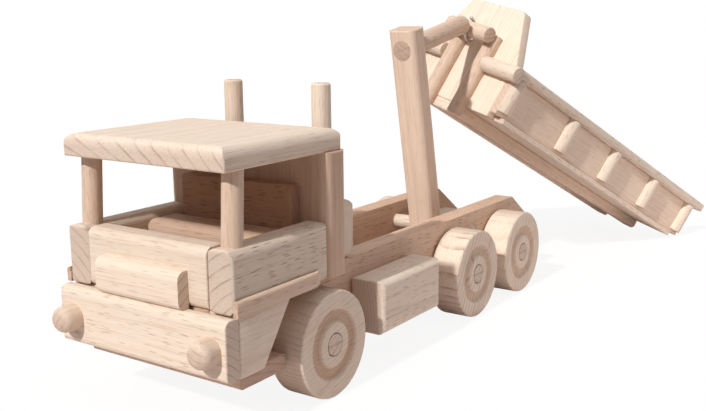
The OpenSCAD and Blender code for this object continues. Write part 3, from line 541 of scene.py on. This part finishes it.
def beech_grain_group(look):
    """Growth rings, fibres and flecks of beech.

    The grain runs along X of the vector, and the log's heart is where Y and Z are zero.
    """
    tree, given, result = new_group(
        "beech_grain",
        (("Vector", "Vector"), ("Ring Spacing", "Float"), ("End Grain", "Float"), ("Tone", "Float"),
         ("Flecks", "Float"), ("Warm", "Float"), ("Rings", "Float")),
        (("Color", "Color"), ("Roughness", "Float"), ("Height", "Float")))
    vector, spacing, end, tone, flecks, warm, rings = given.outputs[:7]

    parts = add_node(tree, "ShaderNodeSeparateXYZ", (-1400, 300))
    tree.links.new(vector, parts.inputs[0])
    reach = reach_from(tree, (-1250, 300), parts.outputs[1], parts.outputs[2])
    wander = noise(tree, (-1200, 0), stretched(tree, (-1400, 0), vector, WANDER_REPEATS))
    stray = math_node(tree, "MULTIPLY", (-1000, 60), math_node(
        tree, "SUBTRACT", (-1100, 60), wander, 0.5), 2 * look.ring_wander)
    year = math_node(tree, "DIVIDE", (-700, 300), math_node(tree, "ADD", (-850, 300), reach, stray), spacing)
    phase = math_node(tree, "FRACT", (-560, 300), year)
    fall = range_node(tree, (-420, 180), phase, RING_BREAK, 1.0, 1.0, 0.0)
    year_mix = noise(tree, (-420, 20), stretched(tree, (-560, 20), vector, YEAR_REPEATS), detail=1.0)
    strong = range_node(tree, (-260, 60), year_mix, *YEAR_RANGE, *YEAR_LINES)
    rise = math_node(tree, "POWER", (-420, 340), phase, RING_POWER)
    side_line = math_node(
        tree, "MULTIPLY", (-120, 300), math_node(tree, "MULTIPLY", (-260, 300), rise, fall),
        math_node(tree, "MULTIPLY", (-200, 0), strong, rings))
    line = math_node(tree, "MULTIPLY", (-260, 460), range_node(tree, (-420, 480), phase, *END_LINE), fall)
    end_line = math_node(
        tree, "MULTIPLY", (-120, 460), math_node(tree, "MULTIPLY", (-200, 520), line, end),
        math_node(tree, "ADD", (-200, 160), strong, END_LINE_MORE))
    ring_share = math_node(tree, "MAXIMUM", (0, 300), side_line, end_line)

    broad, streak, fibre = [
        noise(tree, (-900, y), stretched(tree, (-1100, y), vector, pattern.repeats), pattern.detail,
              pattern.rough)
        for y, pattern in ((-250, BROAD), (-650, STREAK), (-450, FIBRE))]

    cells = add_node(tree, "ShaderNodeTexVoronoi", (-700, -900), feature="F1", Scale=1.0, Randomness=1.0)
    repeats = (1 / look.fleck_long, 1 / look.fleck_wide, 1 / look.fleck_wide)
    tree.links.new(stretched(tree, (-900, -900), vector, repeats), cells.inputs["Vector"])
    chance = add_node(tree, "ShaderNodeSeparateColor", (-500, -980))
    tree.links.new(cells.outputs["Color"], chance.inputs[0])
    dash = math_node(
        tree, "MULTIPLY", (-250, -900),
        range_node(tree, (-450, -820), cells.outputs["Distance"], *FLECK_FADE, 1.0, 0.0),
        range_node(tree, (-350, -1000), chance.outputs[0], *FLECK_CHANCE))
    fleck_share = math_node(
        tree, "MULTIPLY", (-50, -900), math_node(tree, "MULTIPLY", (-150, -900), dash, flecks),
        range_node(tree, (-250, -1100), end, 0.0, 1.0, *FLECK_STRENGTH))

    wood = mix_colour(tree, (60, 300), ring_share, look.early, look.late)
    for x, pattern, shown in ((220, BROAD, broad), (380, STREAK, streak), (540, FIBRE, fibre)):
        share = range_node(tree, (x - 160, 60), shown, pattern.low, pattern.high, 0.0, pattern.share)
        wood = mix_colour(tree, (x, 300), share, wood, pattern.tint, "MULTIPLY")
    wood = mix_colour(tree, (700, 300), fleck_share, wood, look.fleck)
    end_share = math_node(tree, "MULTIPLY", (700, 60), end, END_SHARE)
    wood = mix_colour(tree, (860, 300), end_share, wood, look.end, "MULTIPLY")
    # darker, redder tint: partly steaming, partly painted shade and bounce light
    wood = mix_colour(tree, (940, 300), warm, wood, look.steamed_and_shade_tint, "MULTIPLY")
    # paleness: partly the wood's own, partly painted light and shade
    shade = add_node(tree, "ShaderNodeVectorMath", (1020, 300), operation="SCALE")
    tree.links.new(wood, shade.inputs[0])
    tree.links.new(tone, shade.inputs["Scale"])
    tree.links.new(shade.outputs[0], result.inputs["Color"])

    roughness = [look.roughness + change for change in ROUGH_SPREAD]
    tree.links.new(range_node(tree, (700, -200), fibre, *ROUGH_RANGE, *roughness), result.inputs["Roughness"])
    height = math_node(
        tree, "SUBTRACT", (540, -450), math_node(tree, "MULTIPLY", (380, -450), fibre, FIBRE_HEIGHT),
        math_node(tree, "MULTIPLY", (380, -600), dash, FLECK_HEIGHT))
    tree.links.new(height, result.inputs["Height"])


def sanded_edge_and_highlight_group():
    """Mask of edges, which are made paler partly by sanding wear and partly as a painted highlight."""
    tree, given, result = new_group("sanded_edge_and_highlight", (("Width", "Float"),), (("Edge", "Float"),))
    eased = add_node(tree, "ShaderNodeBevel", (-400, 100), samples=EDGE_SAMPLES)
    tree.links.new(given.outputs[0], eased.inputs["Radius"])
    plain = add_node(tree, "ShaderNodeNewGeometry", (-400, -100))
    turn = add_node(tree, "ShaderNodeVectorMath", (-200, 0), operation="DOT_PRODUCT")
    tree.links.new(eased.outputs[0], turn.inputs[0])
    tree.links.new(plain.outputs["Normal"], turn.inputs[1])
    edge = range_node(tree, (0, 0), turn.outputs["Value"], *EDGE_BEND, 1.0, 0.0)
    tree.links.new(edge, result.inputs["Edge"])


def lathe_marks_group(sizes):
    """Marks that a lathe leaves round Y: their height and a mask of dark grooves; and a mask of the sunk ring, for
    its browning and its painted shade.
    """
    tree, given, result = new_group(
        "lathe_marks", (("Vector", "Vector"), ("Outwards", "Float")),
        (("Height", "Float"), ("Groove", "Float"), ("Ring", "Float")))
    parts = add_node(tree, "ShaderNodeSeparateXYZ", (-900, 0))
    tree.links.new(given.outputs[0], parts.inputs[0])
    reach = reach_from(tree, (-780, 0), parts.outputs[0], parts.outputs[2])
    along = add_node(tree, "ShaderNodeCombineXYZ", (-420, 0))
    tree.links.new(math_node(tree, "MULTIPLY", (-480, 120), reach, LATHE_OUT), along.inputs[0])
    tree.links.new(math_node(tree, "MULTIPLY", (-480, -120), parts.outputs[1], LATHE_ALONG), along.inputs[1])
    rings = noise(tree, (-250, 0), along.outputs[0], rough=0.65)
    tree.links.new(rings, result.inputs["Height"])
    tree.links.new(range_node(tree, (0, -120), rings, *GROOVE_RANGE), result.inputs["Groove"])
    inner, outer, slope = sizes.ring_inner, sizes.ring_outer, sizes.ring_slope
    band = math_node(
        tree, "MULTIPLY", (-100, -300), range_node(tree, (-300, -300), reach, inner, inner + slope),
        range_node(tree, (-300, -450), reach, outer - slope, outer, 1.0, 0.0))
    front = range_node(tree, (-300, -600), math_node(
        tree, "MULTIPLY", (-480, -600), parts.outputs[1], given.outputs["Outwards"]), 0.0, sizes.ring_deep)
    tree.links.new(math_node(tree, "MULTIPLY", (50, -400), band, front), result.inputs["Ring"])


def beech_material(name, cut, along, heart, middle, scene, outwards=0):
    """A beech material, its grain along a direction and the log's heart a way off from the piece's middle.

    For a wheel, outwards is 1 or -1, the side of its outer face along Y.
    """
    look, sizes = scene.truck_beech, scene.truck_turned
    material, tree = new_material(name)
    along = along.normalized()
    away = (heart - along * heart.dot(along)).normalized()
    turn = Matrix((along, away.cross(along), away))

    place = add_node(tree, "ShaderNodeTexCoord", (-1100, 0))
    mapped = add_node(tree, "ShaderNodeMapping", (-900, 100), vector_type="POINT")
    mapped.inputs["Rotation"].default_value = turn.to_euler("XYZ")
    mapped.inputs["Location"].default_value = -(turn @ (middle + heart))
    tree.links.new(place.outputs["Object"], mapped.inputs["Vector"])
    facing = add_node(tree, "ShaderNodeVectorMath", (-900, -250), operation="DOT_PRODUCT")
    facing.inputs[1].default_value = along
    tree.links.new(place.outputs["Normal"], facing.inputs[0])
    square = math_node(tree, "ABSOLUTE", (-720, -250), facing.outputs["Value"])

    grain = placed_group(tree, "beech_grain", (-400, 100))
    tree.links.new(mapped.outputs[0], grain.inputs["Vector"])
    tree.links.new(range_node(tree, (-560, -250), square, *END_FACING), grain.inputs["End Grain"])
    for label, value in (("Ring Spacing", cut.spacing), ("Tone", cut.tone), ("Flecks", cut.flecks),
                         ("Warm", cut.warm), ("Rings", cut.lines)):
        grain.inputs[label].default_value = value
    colour, height = grain.outputs["Color"], grain.outputs["Height"]

    edge = placed_group(tree, "sanded_edge_and_highlight", (-400, -250))
    edge.inputs["Width"].default_value = EDGE_REACH * sizes.ease
    # paler edges: partly sanding wear, partly a painted highlight along every edge
    rubbed_and_highlighted = math_node(tree, "MULTIPLY", (-250, -200), edge.outputs[0], EDGE_SHARE)
    colour = mix_colour(tree, (-150, 100), rubbed_and_highlighted, colour, EDGE_WEAR_AND_HIGHLIGHT_TINT, "MULTIPLY")
    if outwards:
        centred = add_node(tree, "ShaderNodeMapping", (-700, -500), vector_type="POINT")
        centred.inputs["Location"].default_value = -middle
        tree.links.new(place.outputs["Object"], centred.inputs["Vector"])
        marks = placed_group(tree, "lathe_marks", (-400, -500))
        tree.links.new(centred.outputs[0], marks.inputs["Vector"])
        marks.inputs["Outwards"].default_value = outwards
        groove = math_node(tree, "MULTIPLY", (-150, -400), marks.outputs["Groove"], GROOVE_SHARE)
        colour = mix_colour(tree, (0, 100), groove, colour, GROOVE_TINT, "MULTIPLY")
        # darker sunk ring: partly the lathe's browning, partly painted shade in the recess
        browned_and_shaded = math_node(tree, "MULTIPLY", (-50, -250), marks.outputs["Ring"], cut.burnish)
        colour = mix_colour(tree, (80, 100), browned_and_shaded, colour, RING_BURNISH_AND_SHADE_TINT, "MULTIPLY")
        height = math_node(tree, "ADD", (-100, -550), height, marks.outputs["Height"])

    bump = add_node(tree, "ShaderNodeBump", (150, -300), Strength=BUMP_STRENGTH, Distance=look.relief)
    tree.links.new(height, bump.inputs["Height"])
    shader = add_node(tree, "ShaderNodeBsdfPrincipled", (400, 100))
    shader.inputs["Specular IOR Level"].default_value = WOOD_SPECULAR
    tree.links.new(colour, shader.inputs["Base Color"])
    tree.links.new(grain.outputs["Roughness"], shader.inputs["Roughness"])
    tree.links.new(bump.outputs[0], shader.inputs["Normal"])
    to_output(tree, (700, 100), shader)
    return material


def wire_material():
    """Plain steel wire, a little dulled in patches."""
    material, tree = new_material("steel_wire")
    place = add_node(tree, "ShaderNodeTexCoord", (-800, 0))
    patches = stretched(tree, (-600, 0), place.outputs["Object"], DULL_REPEATS)
    dull = noise(tree, (-400, 0), patches, detail=3.0, rough=0.6)
    shader = add_node(tree, "ShaderNodeBsdfPrincipled", (100, 0), Metallic=1.0)
    tree.links.new(mix_colour(tree, (-150, 100), dull, WIRE_BRIGHT, WIRE_DULL), shader.inputs["Base Color"])
    tree.links.new(range_node(tree, (-150, -100), dull, *DULL_RANGE, *WIRE_ROUGH), shader.inputs["Roughness"])
    to_output(tree, (400, 0), shader)
    return material


def paint(piece, material):
    """Gives a piece one material all over."""
    piece.data.materials.clear()
    piece.data.materials.append(material)


def grain_material(node, scene):
    """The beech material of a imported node, from how it was cut."""
    cut = GRAIN[node]
    stand = stand_of(body_of(node), scene.truck_turns)
    return beech_material(
        "beech_" + node, cut, stand @ AXES[cut.along], stand @ Vector(cut.heart), middle_of(node), scene)


# Mesh helpers

def finish_piece(name, mesh_data, node):
    """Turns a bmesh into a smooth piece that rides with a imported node's body and stands for the node."""
    mesh = bpy.data.meshes.new(name)
    mesh_data.to_mesh(mesh)
    mesh_data.free()
    mesh.polygons.foreach_set("use_smooth", [True] * len(mesh.polygons))
    mesh.set_sharp_from_angle(angle=SHARP_ANGLE)
    piece = bpy.data.objects.new(name, mesh)
    bpy.context.scene.collection.objects.link(piece)
    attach(piece, body_of(node))
    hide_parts(node)
    return piece


def rounded(shape, geom, width, steps, affect):
    """Rounds edges or corners of a bmesh."""
    bmesh.ops.bevel(shape, geom=geom, offset=width, offset_type="OFFSET", segments=steps, profile=0.5,
                    affect=affect, clamp_overlap=True, material=-1)


def eased_copy(node, width, steps):
    """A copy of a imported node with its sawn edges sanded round."""
    shape = bmesh.new()
    shape.from_mesh(frame["nodes"][node].data)
    bmesh.ops.remove_doubles(shape, verts=shape.verts, dist=MERGE)
    bmesh.ops.dissolve_limit(shape, angle_limit=FLAT_ANGLE, verts=shape.verts, edges=shape.edges)
    sharp = [e for e in shape.edges if len(e.link_faces) == 2 and e.calc_face_angle() > SHARP_ANGLE]
    rounded(shape, sharp, width, steps, "EDGES")
    bmesh.ops.recalc_face_normals(shape, faces=shape.faces)
    return finish_piece("eased_" + node, shape, node)


def turned_profile(corners, steps):
    """A bmesh with an open line of corners in the XY plane, each corner rounded by its own radius."""
    shape = bmesh.new()
    dots = [shape.verts.new((x, y, 0)) for x, y, _ in corners]
    for a, b in zip(dots, dots[1:]):
        shape.edges.new((a, b))
    for dot, (_, _, radius) in zip(dots, corners):
        if radius:
            rounded(shape, [dot], radius, steps, "VERTICES")
    return shape


def spun(shape, steps):
    """Spins an XY profile round Y into a closed turned shape."""
    bmesh.ops.spin(shape, geom=shape.verts[:] + shape.edges[:], cent=(0, 0, 0), axis=AXES["Y"],
                   dvec=(0, 0, 0), angle=math.tau, steps=steps, use_merge=True, use_duplicate=False)
    bmesh.ops.remove_doubles(shape, verts=shape.verts, dist=MERGE)
    bmesh.ops.recalc_face_normals(shape, faces=shape.faces)
    return shape


# Operators

class TRUCK_OT_finishes(bpy.types.Operator):
    """Builds the shader groups that the finishes share"""

    bl_idname = "truck.finishes"
    bl_label = "Shared finishes"

    def execute(self, context):
        beech_grain_group(context.scene.truck_beech)
        sanded_edge_and_highlight_group()
        lathe_marks_group(context.scene.truck_turned)
        return {"FINISHED"}


class TRUCK_OT_planed(bpy.types.Operator):
    """Gives the planed boards and straight dowels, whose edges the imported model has, their beech"""

    bl_idname = "truck.planed"
    bl_label = "Planed boards"

    def execute(self, context):
        for node in GRAIN:
            if node not in MADE_HERE:
                paint(frame["nodes"][node], grain_material(node, context.scene))
        return {"FINISHED"}


class TRUCK_OT_sawn(bpy.types.Operator):
    """Makes the sawn boards with sanded edges"""

    bl_idname = "truck.sawn"
    bl_label = "Sawn boards"

    def execute(self, context):
        sizes = context.scene.truck_turned
        for node in SAWN:
            width = sizes.wall_ease if node == "tray_front" else sizes.ease
            paint(eased_copy(node, width, sizes.ease_steps), grain_material(node, context.scene))
        return {"FINISHED"}


class TRUCK_OT_strips(bpy.types.Operator):
    """Planes the running strips on the doors, rounded above, slanted behind and with a seam at the door"""

    bl_idname = "truck.strips"
    bl_label = "Running strips"

    def execute(self, context):
        sizes = context.scene.truck_turned
        for node in STRIPS:
            low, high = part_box(node)
            side = 1 if middle_of(node).y > joint_place("front_axle_spin").y else -1
            inner, outer = (low.y, high.y) if side > 0 else (high.y, low.y)
            shape = bmesh.new()
            seam, sunk = inner + side * sizes.strip_seam, high.z - sizes.strip_seam_deep
            corners = [shape.verts.new((high.x, y, z)) for y, z in (
                (inner, low.z), (outer, low.z), (outer, high.z), (seam, high.z), (seam, sunk), (inner, sunk))]
            shape.faces.new(corners)
            rounded(shape, [corners[2]], sizes.strip_round, 2 * sizes.ease_steps, "VERTICES")
            grown = bmesh.ops.extrude_face_region(shape, geom=shape.faces[:])
            far = [item for item in grown["geom"] if isinstance(item, bmesh.types.BMVert)]
            bmesh.ops.translate(shape, verts=far, vec=(low.x - high.x, 0, 0))
            slant = Vector((-abs(outer - inner), side * sizes.strip_taper, 0))
            bmesh.ops.bisect_plane(shape, geom=shape.verts[:] + shape.edges[:] + shape.faces[:],
                                   plane_co=(low.x, inner, 0), plane_no=slant, clear_outer=True)
            bmesh.ops.holes_fill(shape, edges=[e for e in shape.edges if e.is_boundary])
            bmesh.ops.recalc_face_normals(shape, faces=shape.faces)
            paint(finish_piece("planed_" + node, shape, node), grain_material(node, context.scene))
        return {"FINISHED"}


class TRUCK_OT_dowels(bpy.types.Operator):
    """Makes the dowels and half-round ribs with sanded ends"""

    bl_idname = "truck.dowels"
    bl_label = "Dowels and ribs"

    def execute(self, context):
        sizes = context.scene.truck_turned
        for node in DOWELS:
            paint(eased_copy(node, sizes.dowel_ease, sizes.ease_steps), grain_material(node, context.scene))
        return {"FINISHED"}


class TRUCK_OT_wheels(bpy.types.Operator):
    """Turns the wheels, with a sunk ring in the outer face and a gap round the axle"""

    bl_idname = "truck.wheels"
    bl_label = "Turned wheels"

    def execute(self, context):
        scene = context.scene
        sizes = scene.truck_turned
        for node, cut in WHEELS.items():
            low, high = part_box(node)
            middle = (low + high) / 2
            radius = (high.z - low.z) / 2
            wide = high.y - low.y
            axle_low, axle_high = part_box(cut.body)
            bore = (axle_high.x - axle_low.x) / 2 + sizes.hub_gap
            outwards = 1 if middle.y > joint_place(cut.body + "_spin").y else -1
            face, floor = wide / 2, wide / 2 - sizes.ring_deep
            rim, soft = sizes.rim_round, sizes.ring_round
            corners = (
                (bore, -face, sizes.hub_gap), (radius, -face, rim), (radius, face, rim),
                (sizes.ring_outer, face, soft), (sizes.ring_outer - sizes.ring_slope, floor, soft),
                (sizes.ring_inner + sizes.ring_slope, floor, soft), (sizes.ring_inner, face, soft),
                (bore, face, sizes.hub_gap), (bore, -face, 0))
            shape = spun(turned_profile(corners, sizes.ease_steps), sizes.wheel_steps)
            if outwards < 0:
                about = Matrix.Rotation(math.pi, 3, "Z")
                bmesh.ops.rotate(shape, verts=shape.verts, cent=(0, 0, 0), matrix=about)
            bmesh.ops.translate(shape, verts=shape.verts, vec=middle)
            wheel = finish_piece("turned_" + node, shape, node)
            turn = Matrix.Rotation(math.radians(cut.turn), 3, "Y")
            paint(wheel, beech_material(
                "beech_" + node, cut, turn @ AXES["X"], turn @ Vector((0, 0, -cut.heart)), middle, scene,
                outwards))
        return {"FINISHED"}


class TRUCK_OT_lamps(bpy.types.Operator):
    """Turns the two lamp dowels, domed in front"""

    bl_idname = "truck.lamps"
    bl_label = "Lamp dowels"

    def execute(self, context):
        sizes = context.scene.truck_turned
        low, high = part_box("lamps")
        radius = (high.z - low.z) / 2
        long = high.x - low.x
        forwards = Matrix.Rotation(-math.pi / 2, 3, "Z")
        shape = bmesh.new()
        for y in (low.y + radius, high.y - radius):
            corners = ((0, 0, 0), (radius, 0, sizes.dowel_ease),
                       (radius, long - sizes.lamp_crown, sizes.lamp_round), (0, long, 0))
            lamp = spun(turned_profile(corners, 4 * sizes.ease_steps), sizes.wheel_steps // 2)
            bmesh.ops.rotate(lamp, verts=lamp.verts, cent=(0, 0, 0), matrix=forwards)
            bmesh.ops.translate(lamp, verts=lamp.verts, vec=(low.x, y, (low.z + high.z) / 2))
            half = bpy.data.meshes.new("lamp_half")
            lamp.to_mesh(half)
            lamp.free()
            shape.from_mesh(half)
            bpy.data.meshes.remove(half)
        paint(finish_piece("turned_lamps", shape, "lamps"), grain_material("lamps", context.scene))
        return {"FINISHED"}


class TRUCK_OT_hook(bpy.types.Operator):
    """Gives the lift hook its wire"""

    bl_idname = "truck.hook"
    bl_label = "Wire hook"

    def execute(self, context):
        paint(frame["nodes"]["lift_hook"], wire_material())
        return {"FINISHED"}


class TRUCK_OT_stage(bpy.types.Operator):
    """Sets the floor, the light and the camera"""

    bl_idname = "truck.stage"
    bl_label = "Stage"

    def execute(self, context):
        scene = context.scene
        look = scene.truck_stage
        scene.view_settings.view_transform = "Standard"
        self.add_floor(scene, look)
        self.add_sun(scene, look)
        self.add_fill(scene, look)
        self.add_sky(scene, look)
        self.add_camera(scene, look)
        return {"FINISHED"}

    def add_floor(self, scene, look):
        """A plain pale floor that throws back less light the farther it is from the toy"""
        shape = bmesh.new()
        bmesh.ops.create_grid(shape, x_segments=1, y_segments=1, size=look.floor_half)
        mesh = bpy.data.meshes.new("floor")
        shape.to_mesh(mesh)
        shape.free()
        floor = bpy.data.objects.new("floor", mesh)
        scene.collection.objects.link(floor)
        material, tree = new_material("pale_floor")
        place = add_node(tree, "ShaderNodeTexCoord", (-1300, 0))
        sheet = stretched(tree, (-1120, 0), place.outputs["Object"], (1 / look.sheet_long, 1, 1))
        reach = add_node(tree, "ShaderNodeVectorMath", (-950, 0), operation="LENGTH")
        tree.links.new(sheet, reach.inputs[0])
        fade = range_node(tree, (-780, 0), reach.outputs["Value"], look.sheet_near, look.sheet_far)
        thrown = mix_colour(tree, (-620, 0), fade, look.floor_near, look.floor_far)
        path = add_node(tree, "ShaderNodeLightPath", (-650, 300))
        seen = path.outputs["Is Camera Ray"]
        plain = add_node(tree, "ShaderNodeBsdfDiffuse", (-300, 0))
        tree.links.new(mix_colour(tree, (-460, 0), seen, thrown, look.floor_seen), plain.inputs["Color"])
        glow = add_node(tree, "ShaderNodeEmission", (-300, -200), Strength=look.floor_glow)
        share = math_node(tree, "MULTIPLY", (-300, 300), seen, look.floor_even)
        to_output(tree, (250, 0), mix_shader(tree, (0, 0), share, plain, glow))
        paint(floor, material)

    def add_sun(self, scene, look):
        """The key light"""
        sun = bpy.data.lights.new("key_sun", "SUN")
        sun.energy = look.sun
        sun.angle = look.sun_soft
        holder = bpy.data.objects.new("key_sun", sun)
        holder.rotation_euler = Vector(look.sun_from).to_track_quat("Z", "Y").to_euler()
        scene.collection.objects.link(holder)

    def add_fill(self, scene, look):
        """The soft lamp beside the container, which the camera does not see"""
        soft = bpy.data.lights.new("fill", "AREA")
        soft.energy = look.fill
        soft.size = look.fill_size
        holder = bpy.data.objects.new("fill", soft)
        holder.location = axle_foot() + Vector(look.fill_place)
        away = Vector(look.fill_place) - Vector(look.fill_aim)
        holder.rotation_euler = away.to_track_quat("Z", "Y").to_euler()
        holder.visible_camera = False
        scene.collection.objects.link(holder)

    def add_sky(self, scene, look):
        """Light that falls off from overhead to the sides, and white where the camera sees past the floor"""
        scene.world = scene.world or bpy.data.worlds.new("studio")
        scene.world.use_nodes = True
        tree = scene.world.node_tree
        tree.nodes.clear()
        path = add_node(tree, "ShaderNodeLightPath", (-700, 200))
        seen = math_node(tree, "MAXIMUM", (-350, 200), math_node(
            tree, "MAXIMUM", (-500, 200), path.outputs["Is Camera Ray"], path.outputs["Is Glossy Ray"]),
            path.outputs["Is Transmission Ray"])
        place = add_node(tree, "ShaderNodeTexCoord", (-900, 0))
        rise = add_node(tree, "ShaderNodeSeparateXYZ", (-700, 0))
        tree.links.new(place.outputs["Generated"], rise.inputs[0])
        sky = add_node(tree, "ShaderNodeBackground", (-200, 0), Color=(*look.sky_tint, 1))
        tree.links.new(range_node(tree, (-450, 0), rise.outputs[2], 0.0, 1.0, look.sky_low, look.sky_high),
                       sky.inputs["Strength"])
        white = add_node(tree, "ShaderNodeBackground", (-200, -150), Color=(1, 1, 1, 1), Strength=1.0)
        to_output(tree, (250, 0), mix_shader(tree, (50, 0), seen, sky, white), "World")

    def add_camera(self, scene, look):
        """The camera, placed as the photograph was taken"""
        camera = bpy.data.cameras.new("photo_camera")
        camera.lens = look.lens
        camera.sensor_width = SENSOR_WIDTH
        camera.sensor_fit = "HORIZONTAL"
        camera.clip_start = NEAR_CLIP
        holder = bpy.data.objects.new("photo_camera", camera)
        scene.collection.objects.link(holder)
        ahead = Vector((math.cos(look.camera_dip) * math.cos(look.camera_turn),
                        math.cos(look.camera_dip) * math.sin(look.camera_turn), -math.sin(look.camera_dip)))
        flat_right = ahead.cross(AXES["Z"]).normalized()
        flat_up = flat_right.cross(ahead)
        lean, keep = math.sin(look.camera_roll), math.cos(look.camera_roll)
        right = keep * flat_right + lean * flat_up
        up = keep * flat_up - lean * flat_right
        place = axle_foot() + Vector(look.camera_place)
        holder.matrix_world = Matrix.Translation(place) @ Matrix((right, up, -ahead)).transposed().to_4x4()
        scene.camera = holder


class TRUCK_PT_panel(bpy.types.Panel):
    """Lists the steps that dress the truck"""

    bl_idname = "TRUCK_PT_panel"
    bl_label = "Toy truck"
    bl_space_type = "VIEW_3D"
    bl_region_type = "UI"
    bl_category = "Toy truck"

    def draw(self, context):
        for step in STEPS:
            self.layout.operator(step.bl_idname)


STEPS = (TRUCK_OT_finishes, TRUCK_OT_planed, TRUCK_OT_sawn, TRUCK_OT_strips, TRUCK_OT_dowels,
         TRUCK_OT_wheels, TRUCK_OT_lamps, TRUCK_OT_hook, TRUCK_OT_stage)
GROUPS = {"truck_beech": BeechLook, "truck_turned": TurnedSizes, "truck_turns": PartTurns,
          "truck_stage": StageLook}


def register():
    """Registers the settings, the steps and the panel."""
    for name, group in GROUPS.items():
        bpy.utils.register_class(group)
        setattr(bpy.types.Scene, name, PointerProperty(type=group))
    for step in STEPS:
        bpy.utils.register_class(step)
    bpy.utils.register_class(TRUCK_PT_panel)


def unregister():
    """Takes back what register added."""
    bpy.utils.unregister_class(TRUCK_PT_panel)
    for step in reversed(STEPS):
        bpy.utils.unregister_class(step)
    for name, group in reversed(GROUPS.items()):
        delattr(bpy.types.Scene, name)
        bpy.utils.unregister_class(group)


def main():
    register()
    bpy.ops.truck.finishes()
    bpy.ops.truck.planed()
    bpy.ops.truck.sawn()
    bpy.ops.truck.strips()
    bpy.ops.truck.dowels()
    bpy.ops.truck.wheels()
    bpy.ops.truck.lamps()
    bpy.ops.truck.hook()
    bpy.ops.truck.stage()


if __name__ == "__main__":
    main()
